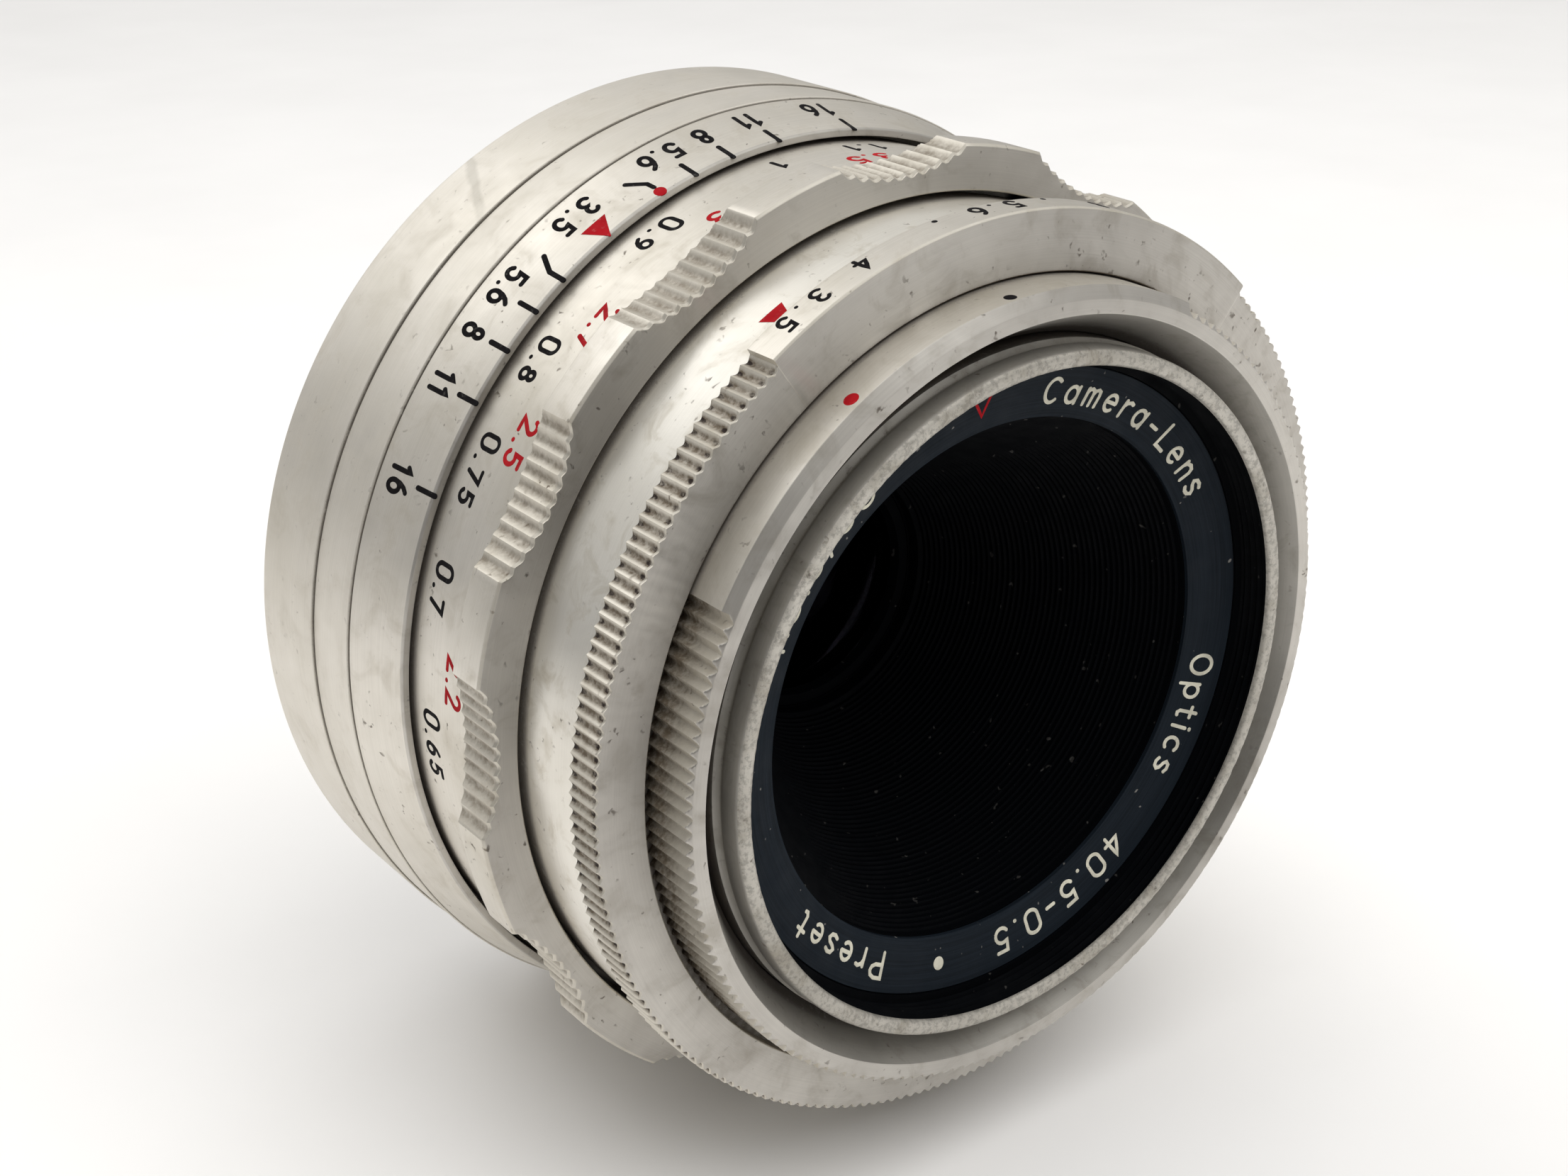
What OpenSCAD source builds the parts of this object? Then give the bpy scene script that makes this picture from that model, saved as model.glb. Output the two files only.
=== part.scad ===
// Preset 50 mm f/3.5 lens in a helical focusing mount, lying with its optical axis along Y.
// Front faces -Y, +Z is up, the origin is on the optical axis at the rear flange face.
// Drawn in a turning frame (z forward from the flange) and laid down by lay().

/* [Rear mount] */
// radius of the plain rear band, mm
band_r = 30.85; // [26:0.05:36]
// length of the plain rear band, mm
band_len = 6.75; // [4:0.05:12]
// radius of the M42 x 1 mounting thread, mm
mount_r = 21; // [17:0.05:24]
// length of the mounting thread behind the flange, mm
mount_len = 4.3; // [3:0.1:6]
// number of screws in the rear flange
flange_screw_count = 4; // [3:1:6]

/* [Focusing] */
// helicoid lead, mm per turn
focus_lead = 7.6; // [4:0.1:12]
// helicoid extension as drawn, mm beyond infinity
rest_extension = 3.24; // [2.8:0.01:3.4]
// helicoid extension at the near limit, mm
near_extension = 4.58; // [4:0.01:5]
// radius of the smooth lands of the focusing flange, mm
grip_r = 30.4; // [29:0.05:32]
// lowest crest radius in a scallop of the focusing flange, mm
scallop_r = 29.15; // [28.9:0.05:30]
// scallops round the focusing flange
scallop_count = 12; // [8:1:12]
// teeth in one scallop
scallop_teeth = 10; // [5:1:12]
// depth of the teeth in the scallops, mm
scallop_tooth = 0.24; // [0.1:0.01:0.6]

/* [Preset ring] */
// radius of the smooth number land, mm
preset_r = 28.45; // [28:0.05:30]
// teeth in the knurl of the preset ring
preset_teeth = 177; // [90:1:240]
// tooth depth of the preset ring, mm
preset_tooth = 0.26; // [0.1:0.01:0.6]
// turn of the preset ring from f/3.5 to f/16, degrees
preset_turn = 66; // [40:1:90]

/* [Aperture ring] */
// radius of the smooth land of the front ring, mm
ring_r = 24.75; // [24.3:0.05:26]
// teeth in the knurl of the front ring
ring_teeth = 136; // [70:1:200]
// tooth depth of the front ring, mm
ring_tooth = 0.46; // [0.1:0.01:0.7]
// turn of the front ring from open to closed, degrees
aperture_turn = 26.3; // [15:0.1:28]

/* [Iris] */
// number of iris blades
blade_count = 10; // [10:1:10]
// radius of the blade pivots, mm
pivot_r = 10.4; // [10:0.05:11]
// distance from pivot to drive pin, mm
pin_arm = 3.4; // [2.5:0.05:4]
// blade swing for one degree of the front ring, degrees
swing_ratio = 1.1; // [0.8:0.01:1.2]
// thickness of one blade, mm
blade_t = 0.07; // [0.04:0.01:0.09]

/* [Front] */
// radius of the filter thread M40.5 x 0.5, mm
filter_r = 20.25; // [18:0.05:21]
// inner radius of the name ring, mm
name_r = 16.46; // [14:0.02:18]
// grooves in the front baffle
baffle_grooves = 24; // [8:1:32]

/* [Hidden] */
$fn = 96;
SILVER = [0.79, 0.77, 0.74];
DARK_SILVER = [0.55, 0.54, 0.52];
BLACK = [0.05, 0.05, 0.06];
BRASS = [0.72, 0.58, 0.32];
STEEL = [0.5, 0.5, 0.51];
GLASS = [0.72, 0.82, 0.86];
near_deg = (near_extension - rest_extension) / focus_lead * 360;
far_deg = rest_extension / focus_lead * 360;
land_start = 47.2;
land_end = 124.6;
ring_land_start = 62.5;
ring_land_end = 151.1;
preset_pitch = (360 - land_end + land_start) / preset_teeth;
ring_pitch = (360 - ring_land_end + ring_land_start) / ring_teeth;
swing = swing_ratio * aperture_turn;
groove_arc = 8.7;

module lay() rotate([90, 0, 0]) children();

module turned(points) rotate_extrude() polygon(points);

function polar(r, a) = [r * cos(a), r * sin(a)];

// outline of a toothed strip reaching out past the blank: crests on rc, roots tooth deep
function comb(rc, tooth, count, pitch, start, ro) = concat(
    [for (i = [0:2 * count]) polar(rc - (i % 2) * tooth, start + i * pitch / 2)],
    [for (i = [0:ceil(count * pitch / 10)])
        polar(ro, start + count * pitch * (1 - i / ceil(count * pitch / 10)))]);

// crest radius inside a scallop, t degrees off its middle
scallop_bow = 12.2;
function dish(t) = (scallop_r + scallop_bow) * cos(t)
    - sqrt(pow(scallop_bow, 2) - pow((scallop_r + scallop_bow) * sin(t), 2));

function scallop_outline() = concat(
    [for (i = [0:2 * scallop_teeth]) let (t = groove_arc * (i / scallop_teeth - 1))
        polar(dish(t) - (i % 2) * scallop_tooth, t)],
    [polar(33, groove_arc), polar(33.5, 0), polar(33, -groove_arc)]);

// the scallops on the scale side sit a little closer than the rest
function scallop_at(k) = k < 5 ? 62.5 + 28.9 * k : 178.1 + 244.4 / 8 * (k - 4);

module rear_shell() color(SILVER) lay() difference() {
    turned([[25.6, 0], [band_r - 0.35, 0], [band_r, 0.35], [band_r, band_len - 0.1],
        [band_r - 0.1, band_len], [28.62, band_len], [28.62, 1.8], [26.95, 1.8], [26.95, 0.9],
        [25.6, 0.9]]);
    for (i = [0:flange_screw_count - 1])
        rotate([0, 0, 45 + i * 360 / flange_screw_count]) translate([27.75, 0, -1]) {
            cylinder(r = 0.58, h = 4, $fn = 24);
            cylinder(r = 0.85, h = 2.1, $fn = 32);
        }
}

module mount_flange() color(DARK_SILVER) lay() difference() {
    turned([[19.2, -mount_len], [mount_r - 0.4, -mount_len], [mount_r, -mount_len + 0.4],
        [mount_r, 0], [25.55, 0], [25.55, 0.95],
        [26.9, 0.95], [26.9, 4], [24.2, 4], [24.2, 1.8], [19.2, 1.8]]);
    for (i = [0:1])
        rotate([0, 0, 180 * i]) translate([21.45, -1.55, 0.8]) cube([1.6, 3.1, 3]);
}

module flange_screws() color(STEEL) lay()
    for (i = [0:flange_screw_count - 1])
        rotate([0, 0, 45 + i * 360 / flange_screw_count]) translate([27.75, 0, 0])
            difference() {
                union() {
                    translate([0, 0, 0.25]) cylinder(r = 0.8, h = 0.8, $fn = 32);
                    translate([0, 0, 1]) cylinder(r = 0.55, h = 5.6, $fn = 24);
                }
                translate([-0.15, -2, 0.1]) cube([0.3, 4, 0.45]);
            }

module retaining_collar() color(SILVER) lay()
    turned([[28.62, 6.8], [30.6, 6.8], [30.7, 6.9], [30.7, 10.9], [30.6, 11], [28.62, 11]]);

module depth_scale_ring() color(SILVER) lay()
    turned([[28.62, 11.05], [30.5, 11.05], [30.57, 11.15], [29.6, 15.35], [29.5, 15.6],
        [29.1, 15.6], [29.1, 13.6], [28.62, 13.6]]);

module fixed_barrel() color(DARK_SILVER) lay() difference() {
    turned([[26.95, 1.85], [28.57, 1.85], [28.57, 13.55], [27.93, 13.55], [27.93, 15.4],
        [26.05, 15.4], [26.05, 5.3], [26.95, 5.3]]);
    for (i = [0:flange_screw_count - 1])
        rotate([0, 0, 45 + i * 360 / flange_screw_count]) translate([27.75, 0, 1])
            cylinder(r = 0.58, h = 6.2, $fn = 24);
    rotate([0, 0, -90]) translate([25, 0, 10.3]) rotate([0, 90, 0])
        cylinder(r = 0.84, h = 5, $fn = 32);
}

module guide_keys() color(BRASS) lay()
    for (i = [0:1])
        rotate([0, 0, 180 * i]) translate([21.5, -1.5, 0.85]) cube([1.5, 3, 8.65]);

module focus_stop_screw() color(STEEL) lay()
    rotate([0, 0, -90]) translate([0, 0, 10.3]) rotate([0, 90, 0]) difference() {
        union() {
            translate([0, 0, 25.25]) cylinder(r = 0.6, h = 1, $fn = 24);
            translate([0, 0, 26.1]) cylinder(r = 0.8, h = 2.4, $fn = 32);
        }
        translate([-0.15, -2, 28.1]) cube([0.3, 4, 1]);
    }

module focus_grip() color(SILVER) lay() difference() {
    turned([[28, 13.95], [28.8, 13.95], [28.8, 21.6], [grip_r - 0.1, 22.42], [grip_r, 22.52],
        [grip_r, 25], [grip_r - 0.15, 25.15], [27.8, 25.3], [27.7, 25.2], [27.7, 22.9],
        [28, 22.9], [28, 19.2], [26.6, 19.2], [26.6, 17.85], [28, 17.85]]);
    for (k = [0:scallop_count - 1])
        rotate([0, 0, scallop_at(k)]) translate([0, 0, 21.55]) linear_extrude(4.3)
            polygon(scallop_outline());
    for (i = [0:2])
        rotate([0, 0, 60 + 120 * i]) translate([27.2, 0, 17]) cylinder(r = 0.5, h = 3, $fn = 24);
}

module focus_helicoid() color(BRASS) lay() difference() {
    turned([[24, 4.05], [26.9, 4.05], [26.9, 5.25], [26, 5.25], [26, 15.65], [27.95, 15.65],
        [27.95, 17.8], [24, 17.8]]);
    rotate([0, 0, -90 - far_deg - 1.6]) translate([0, 0, 9.45])
        rotate_extrude(angle = far_deg + near_deg + 3.2) translate([25.15, 0]) square([1.5, 1.7]);
    for (i = [0:2])
        rotate([0, 0, 60 + 120 * i]) translate([27.2, 0, 16]) cylinder(r = 0.42, h = 3, $fn = 24);
}

module focus_grip_screws() color(STEEL) lay()
    for (i = [0:2])
        rotate([0, 0, 60 + 120 * i]) translate([27.2, 0, 0]) difference() {
            union() {
                translate([0, 0, 16.1]) cylinder(r = 0.4, h = 3.2, $fn = 24);
                translate([0, 0, 19.25]) cylinder(r = 0.72, h = 0.6, $fn = 24);
            }
            translate([-0.12, -1, 19.55]) cube([0.24, 2, 1]);
        }

module head_sleeve() color(DARK_SILVER) lay() difference() {
    turned([[21.45, 5.2], [23.8, 5.2], [23.95, 5.35], [23.95, 18.85], [23.8, 19], [21.45, 19]]);
    for (i = [0:1])
        rotate([0, 0, 180 * i]) translate([21, -1.55, 4]) cube([2.1, 3.1, 9.5]);
}

module head_core() color(DARK_SILVER) lay() difference() {
    turned([[13, 6.6], [21.4, 6.6], [21.4, 33], [19.75, 33], [19.75, 32.5], [17.7, 32.5],
        [17.7, 31.9], [19.7, 31.9], [19.7, 7.45], [13, 7.45]]);
    for (i = [0:1])
        rotate([0, 0, 180 * i - 1.6]) translate([0, 0, 30.2])
            rotate_extrude(angle = aperture_turn + 3.2) translate([19, 0]) square([3, 1.1]);
}

module neck_shell() color(SILVER) lay() difference() {
    turned([[21.45, 28.2], [26.2, 28.2], [26.2, 23.4], [27.2, 23.4], [27.3, 23.5], [27.3, 30.65],
        [27.2, 30.75], [24, 30.75], [24, 32.4], [23.4, 32.4], [23.4, 29.8], [21.45, 29.8]]);
    rotate([0, 0, 200]) translate([25.6, 0, 28.6]) cylinder(r = 0.62, h = 3, $fn = 32);
    rotate([0, 0, 250]) translate([25.9, 0, 28.6]) cylinder(r = 0.72, h = 3, $fn = 32);
}

module preset_stop_pin() color(STEEL) lay()
    rotate([0, 0, 200]) translate([25.6, 0, 28.65]) cylinder(r = 0.6, h = 2.95, $fn = 32);

module click_ball() color(STEEL) lay()
    rotate([0, 0, 250]) translate([25.9, 0, 30.45]) sphere(r = 0.69, $fn = 48);

module click_spring() color(STEEL) lay()
    rotate([0, 0, 250]) translate([25.9, 0, 0])
        for (i = [0:3])
            translate([0, 0, 28.76 + i * 0.3]) rotate_extrude() translate([0.5, 0])
                circle(r = 0.14, $fn = 16);

module filter_collar() color(SILVER) lay()
    turned([[19.75, 33.05], [21.4, 33.05], [21.4, 34.6], [21.05, 34.9], [21.05, 35.1],
        [21.3, 35.3], [21.25, 36.5], [21.1, 36.74], [20.9, 36.8], [20.5, 36.8], [20.3, 36.68],
        [filter_r, 36.4], [filter_r, 34.5], [19.75, 34.4]]);

module name_ring() color(BLACK) lay()
    turned([[name_r, 33.15], [19.7, 33.15], [19.7, 34.28], [name_r + 0.05, 33.46]]);

module front_baffle() color(BLACK) lay()
    turned(concat([[16.4, 33.1], [19.7, 33.1], [19.7, 32.55], [16.9, 32.55], [9.15, 17.2],
        [9.15, 15.95], [8.35, 15.95], [8.35, 16.8]],
        [for (i = [0:2 * baffle_grooves - 1])
            let (t = i / (2 * baffle_grooves))
            [8.45 + 7.9 * t - (i % 2) * 0.14 + 0.08, 16.9 + 16 * t]]));

module front_cell() color(BRASS) lay()
    turned([[8.25, 10.9], [9.7, 10.9], [9.7, 15.9], [9.1, 15.9], [8.25, 15.9], [8.25, 13.4],
        [6.9, 13.4], [6.9, 12.9], [7.65, 12.9], [7.65, 11.35], [8.25, 11.35]]);

module front_element() color(GLASS) lay()
    intersection() {
        translate([0, 0, 13.45]) cylinder(r = 8.2, h = 4);
        translate([0, 0, 16.3 - 20]) sphere(r = 20, $fn = 128);
    }

module front_retainer() color(BLACK) lay()
    turned([[7.3, 15.2], [8.2, 14.8], [8.2, 15.85], [7.5, 15.85]]);

module second_element() color(GLASS) lay() difference() {
    translate([0, 0, 11.35]) cylinder(r = 7.6, h = 1.5);
    translate([0, 0, 12.6 + 26]) sphere(r = 26, $fn = 128);
    translate([0, 0, 11.75 - 22]) sphere(r = 22, $fn = 128);
}

module rear_cell() color(BRASS) lay()
    turned([[7.25, 2.4], [8.6, 2.4], [8.6, 4.9], [15.6, 4.9], [15.6, 6.55], [12.95, 6.55],
        [12.95, 7.42], [6.8, 7.42], [6.8, 7.1], [7.25, 7.1]]);

module doublet_front() color(GLASS) lay() difference() {
    translate([0, 0, 5.2]) cylinder(r = 7.2, h = 1.85);
    translate([0, 0, 6.05 - 30]) sphere(r = 30, $fn = 128);
}

module doublet_rear() color(GLASS) lay()
    intersection() {
        translate([0, 0, 2.6]) cylinder(r = 7.2, h = 4);
        translate([0, 0, 6 - 30]) sphere(r = 30, $fn = 128);
        translate([0, 0, 3.1 + 24]) sphere(r = 24, $fn = 128);
    }

module rear_retainer() color(BLACK) lay()
    turned([[6.4, 2.45], [7.2, 2.45], [7.2, 3.6], [6.4, 3.2]]);

module iris_base() color(BLACK) lay() difference() {
    turned([[6.5, 7.5], [15, 7.5], [15, 8.4], [6.5, 8.4]]);
    for (i = [0:blade_count - 1])
        rotate([0, 0, i * 360 / blade_count]) translate([pivot_r, 0, 7]) cylinder(r = 0.53, h = 2,
            $fn = 32);
}

module preset_ring() color(SILVER) lay() difference() {
    turned([[24.05, 30.9], [preset_r - 0.08, 30.9], [preset_r, 30.98], [preset_r, 33.14],
        [preset_r - 0.12, 33.24], [24.92, 33.42], [24.85, 33.36], [24.85, 32.45],
        [24.05, 32.45]]);
    translate([0, 0, 30]) linear_extrude(4)
        polygon(comb(28.05, preset_tooth, floor((360 - land_end + land_start) / preset_pitch),
            preset_pitch, land_end, 29.6));
    rotate([0, 0, 200 - preset_turn - 1.6]) translate([0, 0, 30])
        rotate_extrude(angle = preset_turn + 3.2) translate([24.9, 0]) square([1.4, 1.75]);
    rotate([0, 0, 250 - preset_turn - 3]) translate([0, 0, 30.2])
        rotate_extrude(angle = preset_turn + 6) translate([25.1, 0]) square([1.6, 0.98]);
}

module aperture_ring() color(SILVER) lay() difference() {
    turned([[21.45, 29.9], [23.35, 29.9], [23.35, 32.5], [ring_r, 32.5], [ring_r, 36.08],
        [24.05, 36.55], [23.2, 36.55], [22.6, 35.3], [22.45, 35.2], [21.75, 33.75],
        [21.65, 33.5], [21.45, 33.4]]);
    translate([0, 0, 32.4]) linear_extrude(5)
        polygon(comb(24.32, ring_tooth,
            floor((360 - ring_land_end + ring_land_start) / ring_pitch), ring_pitch,
            ring_land_end, 26));
    for (i = [0:1])
        rotate([0, 0, 180 * i]) translate([0, 0, 30.75]) rotate([0, 90, 0])
            translate([0, 0, 20]) cylinder(r = 0.47, h = 4, $fn = 24);
}

module drive_screws() color(STEEL) lay()
    for (i = [0:1])
        rotate([0, 0, 180 * i]) translate([0, 0, 30.75]) rotate([0, 90, 0])
            translate([0, 0, 18.75]) cylinder(r = 0.45, h = 4.5, $fn = 24);

module iris_drive_tube() color(BRASS) lay() difference() {
    turned([[10.4, 10.4], [19.6, 10.4], [19.6, 31.4], [18.6, 31.4], [18.6, 11.4],
        [10.4, 11.4]]);
    for (i = [0:1])
        rotate([0, 0, 180 * i]) translate([0, 0, 30.75]) rotate([0, 90, 0])
            translate([0, 0, 17]) cylinder(r = 0.47, h = 4, $fn = 24);
}

// drive pin in the frame of the cam ring, s from 0 open to 1 closed
function pin_x(s) = pivot_r - pin_arm * sin(s * swing);
function pin_y(s) = pin_arm * cos(s * swing);
function cam(s) = let (x = pin_x(s), y = pin_y(s), a = -s * aperture_turn)
    [x * cos(a) - y * sin(a), x * sin(a) + y * cos(a)];
function cam_side(s, w) = let (d = cam(s + 0.01) - cam(s - 0.01), l = norm(d))
    cam(s) + [-d[1], d[0]] * w / l;

module iris_cam_ring() color(BLACK) lay() difference() {
    turned([[7.2, 9.45], [13.6, 9.45], [13.6, 10.35], [7.2, 10.35]]);
    for (i = [0:blade_count - 1])
        rotate([0, 0, i * 360 / blade_count]) translate([0, 0, 9]) {
            linear_extrude(2)
                polygon(concat([for (k = [0:16]) cam_side(k / 16, 0.45)],
                    [for (k = [0:16]) cam_side(1 - k / 16, -0.45)]));
            translate([cam(0)[0], cam(0)[1], 0]) cylinder(r = 0.45, h = 2, $fn = 32);
            translate([cam(1)[0], cam(1)[1], 0]) cylinder(r = 0.45, h = 2, $fn = 32);
        }
}

module blade(n) color(BLACK) lay() rotate([0, 0, (n - 1) * 360 / blade_count]) {
    translate([0, 0, 8.44 + n * 0.09]) {
        rotate_extrude(angle = 103) translate([6.6, 0]) square([2.7, blade_t]);
        linear_extrude(blade_t)
            polygon([[8, 0.02], [pivot_r, -1], [pivot_r + 1, 0], [pivot_r + 0.8, pin_arm],
                [pivot_r - 0.2, pin_arm + 0.8], [8.4, 3.9], [8, 3]]);
    }
    translate([pivot_r, 0, 7.6]) cylinder(r = 0.5, h = 0.84 + n * 0.09 + blade_t, $fn = 32);
    translate([pivot_r, pin_arm, 8.44 + n * 0.09])
        cylinder(r = 0.4, h = 1.86 - n * 0.09, $fn = 32);
}

module iris_blade_01() blade(1);
module iris_blade_02() blade(2);
module iris_blade_03() blade(3);
module iris_blade_04() blade(4);
module iris_blade_05() blade(5);
module iris_blade_06() blade(6);
module iris_blade_07() blade(7);
module iris_blade_08() blade(8);
module iris_blade_09() blade(9);
module iris_blade_10() blade(10);

rear_shell();
mount_flange();
flange_screws();
retaining_collar();
depth_scale_ring();
fixed_barrel();
guide_keys();
focus_stop_screw();
focus_grip();
focus_helicoid();
focus_grip_screws();
head_sleeve();
head_core();
neck_shell();
preset_stop_pin();
click_ball();
click_spring();
filter_collar();
name_ring();
front_baffle();
front_cell();
front_element();
front_retainer();
second_element();
rear_cell();
doublet_front();
doublet_rear();
rear_retainer();
iris_base();
preset_ring();
aperture_ring();
drive_screws();
iris_drive_tube();
iris_cam_ring();
iris_blade_01();
iris_blade_02();
iris_blade_03();
iris_blade_04();
iris_blade_05();
iris_blade_06();
iris_blade_07();
iris_blade_08();
iris_blade_09();
iris_blade_10();
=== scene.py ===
import math

import bmesh
import bpy
import numpy as np
from mathutils import Matrix, Vector

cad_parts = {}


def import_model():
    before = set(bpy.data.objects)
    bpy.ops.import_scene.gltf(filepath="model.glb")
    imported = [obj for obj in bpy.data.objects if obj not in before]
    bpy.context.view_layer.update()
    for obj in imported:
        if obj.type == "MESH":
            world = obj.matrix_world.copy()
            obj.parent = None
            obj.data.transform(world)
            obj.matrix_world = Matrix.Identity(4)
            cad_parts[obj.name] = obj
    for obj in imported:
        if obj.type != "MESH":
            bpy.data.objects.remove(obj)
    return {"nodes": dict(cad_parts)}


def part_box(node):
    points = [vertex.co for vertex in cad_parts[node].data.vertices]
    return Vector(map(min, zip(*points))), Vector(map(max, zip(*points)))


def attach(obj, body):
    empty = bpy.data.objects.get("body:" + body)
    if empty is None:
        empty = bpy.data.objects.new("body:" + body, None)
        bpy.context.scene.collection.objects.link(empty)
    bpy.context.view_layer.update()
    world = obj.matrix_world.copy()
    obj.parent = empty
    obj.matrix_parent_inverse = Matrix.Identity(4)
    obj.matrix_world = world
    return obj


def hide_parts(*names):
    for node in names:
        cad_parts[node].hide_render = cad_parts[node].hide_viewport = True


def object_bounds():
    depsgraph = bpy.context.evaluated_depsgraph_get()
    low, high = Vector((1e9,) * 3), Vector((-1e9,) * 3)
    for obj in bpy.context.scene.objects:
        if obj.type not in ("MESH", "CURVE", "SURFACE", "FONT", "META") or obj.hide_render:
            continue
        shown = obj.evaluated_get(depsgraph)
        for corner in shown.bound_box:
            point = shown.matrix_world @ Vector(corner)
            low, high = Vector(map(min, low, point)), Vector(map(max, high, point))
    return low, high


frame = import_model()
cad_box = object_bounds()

MM = 0.001
NODES = frame["nodes"]
AROUND = 540          # columns of a plain ring


# ---------------------------------------------------------------- frame sizes
def span(node):
    """rear z, front z and outer radius of a node, in mm, z forward from the flange."""
    lo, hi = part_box(node)
    return -hi.y / MM, -lo.y / MM, max(hi.x, -lo.x) / MM


def world(r, phi, z):
    """turning coordinates (mm, degrees) to the row frame in metres."""
    a = np.radians(phi)
    return np.stack([r * np.cos(a), -z * np.ones_like(a), r * np.sin(a)], -1) * MM


# ---------------------------------------------------------------- mesh helpers
def even(count):
    """count angles spread evenly round the axis, degrees."""
    return np.linspace(0, 360, count, endpoint=False)


def finish_mesh(name, verts, faces, material, sharp=30):
    """smooth-shaded object with outward normals and edges sharper than sharp degrees kept crisp."""
    mesh = bpy.data.meshes.new(name)
    mesh.from_pydata([tuple(v) for v in verts], [], faces)
    bm = bmesh.new()
    bm.from_mesh(mesh)
    bmesh.ops.recalc_face_normals(bm, faces=bm.faces)
    bm.to_mesh(mesh)
    bm.free()
    mesh.polygons.foreach_set("use_smooth", [True] * len(mesh.polygons))
    mesh.set_sharp_from_angle(angle=math.radians(sharp))
    obj = bpy.data.objects.new(name, mesh)
    bpy.context.scene.collection.objects.link(obj)
    obj.data.materials.append(material)
    return obj


def soften(profile, size):
    """small rounded edges on a closed profile of (r, z) corners."""
    out = []
    n = len(profile)
    for i in range(n):
        p0, p, p1 = (np.array(profile[j % n][:2], float) for j in (i - 1, i, i + 1))
        a, b = p0 - p, p1 - p
        la, lb = np.linalg.norm(a), np.linalg.norm(b)
        cut = min(size, 0.35 * la, 0.35 * lb)
        turn = abs(a[0] * b[1] - a[1] * b[0]) / (la * lb)
        if turn < 0.25 or cut < 0.01:      # nearly straight, or too short to round
            out.append(p)
            continue
        s, e = p + a / la * cut, p + b / lb * cut
        for t in (0, 0.33, 0.67, 1):
            out.append((1 - t) ** 2 * s + 2 * t * (1 - t) * p + t * t * e)
    return np.array(out)


def refine(profile, step, where):
    """closed profile with extra points every step mm on the sides whose middle passes where(r, z)."""
    out = []
    n = len(profile)
    for i in range(n):
        p, q = np.array(profile[i]), np.array(profile[(i + 1) % n])
        mid = (p + q) / 2
        k = max(1, int(np.ceil(np.linalg.norm(q - p) / step))) if where(*mid) else 1
        out += [p + (q - p) * j / k for j in range(k)]
    return np.array(out)


def ring(name, profile, material, phis=None, shape=None, sharp=30):
    """closed ring: profile of (r, z) in mm turned round the axis, reshaped by shape(phi, r, z).

    shape gives r and z, and may add a value for soiling and painted shade that is kept as a point attribute.
    """
    phis = even(AROUND) if phis is None else phis
    prof = np.array(profile, float)
    k, n = len(prof), len(phis)
    r = np.repeat(prof[:, :1], n, 1)
    z = np.repeat(prof[:, 1:2], n, 1)
    phi = np.repeat(phis[None, :], k, 0)
    soil_and_shade = None
    if shape:
        r, z, *soil_and_shade = shape(phi, r, z)
    a = np.radians(phi)
    verts = np.stack([r * np.cos(a), -z, r * np.sin(a)], -1).reshape(-1, 3) * MM
    i, j = np.meshgrid(np.arange(k), np.arange(n), indexing="ij")
    i2, j2 = (i + 1) % k, (j + 1) % n
    faces = np.stack([i * n + j, i * n + j2, i2 * n + j2, i2 * n + j], -1).reshape(-1, 4)
    obj = finish_mesh(name, verts, faces.tolist(), material, sharp)
    if soil_and_shade:
        layer = obj.data.attributes.new("soil_and_shade", "FLOAT", "POINT")
        layer.data.foreach_set("value", soil_and_shade[0].reshape(-1).astype(np.float32))
    return obj


def coat(obj, material, test):
    """gives the faces that pass test(r, z, outward, forward) another material."""
    obj.data.materials.append(material)
    last = len(obj.data.materials) - 1
    for face in obj.data.polygons:
        c, n = face.center, face.normal
        r = math.hypot(c.x, c.z)
        if test(r / MM, -c.y / MM, (n.x * c.x + n.z * c.z) / max(r, 1e-9), -n.y):
            face.material_index = last


# ---------------------------------------------------------------- materials
class Nodes:
    """short hands for building a node tree."""

    def __init__(self, tree):
        self.tree = tree

    def node(self, kind, **props):
        n = self.tree.nodes.new(kind)
        for k, v in props.items():
            setattr(n, k, v)
        return n

    def link(self, a, b):
        self.tree.links.new(a, b)

    def feed(self, socket, value):
        if isinstance(value, bpy.types.NodeSocket):
            self.link(value, socket)
        elif value is not None:
            socket.default_value = value

    def math(self, op, a, b=None, clamp=False):
        n = self.node("ShaderNodeMath", operation=op, use_clamp=clamp)
        self.feed(n.inputs[0], a)
        self.feed(n.inputs[1], b)
        return n.outputs[0]

    def product(self, *values):
        out = values[0]
        for value in values[1:]:
            out = self.math("MULTIPLY", out, value)
        return out

    def fit(self, value, a, b, c=0.0, d=1.0):
        """value mapped from a..b to c..d and clamped."""
        n = self.node("ShaderNodeMapRange")
        for s, v in zip(n.inputs, (value, a, b, c, d)):
            self.feed(s, v)
        return n.outputs[0]

    def mix(self, fac, a, b, mode="MIX"):
        n = self.node("ShaderNodeMix", data_type="RGBA", blend_type=mode)
        self.feed(n.inputs[0], fac)
        self.feed(n.inputs[6], a)
        self.feed(n.inputs[7], b)
        return n.outputs[2]

    def ramp(self, value, stops):
        """colour ramp through (position, grey or colour) stops."""
        n = self.node("ShaderNodeValToRGB")
        while len(n.color_ramp.elements) < len(stops):
            n.color_ramp.elements.new(0.5)
        for element, (position, tone) in zip(n.color_ramp.elements, stops):
            element.position = position
            element.color = tone if isinstance(tone, tuple) else rgb(tone, tone, tone)
        self.feed(n.inputs[0], value)
        return n.outputs[0]


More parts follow.
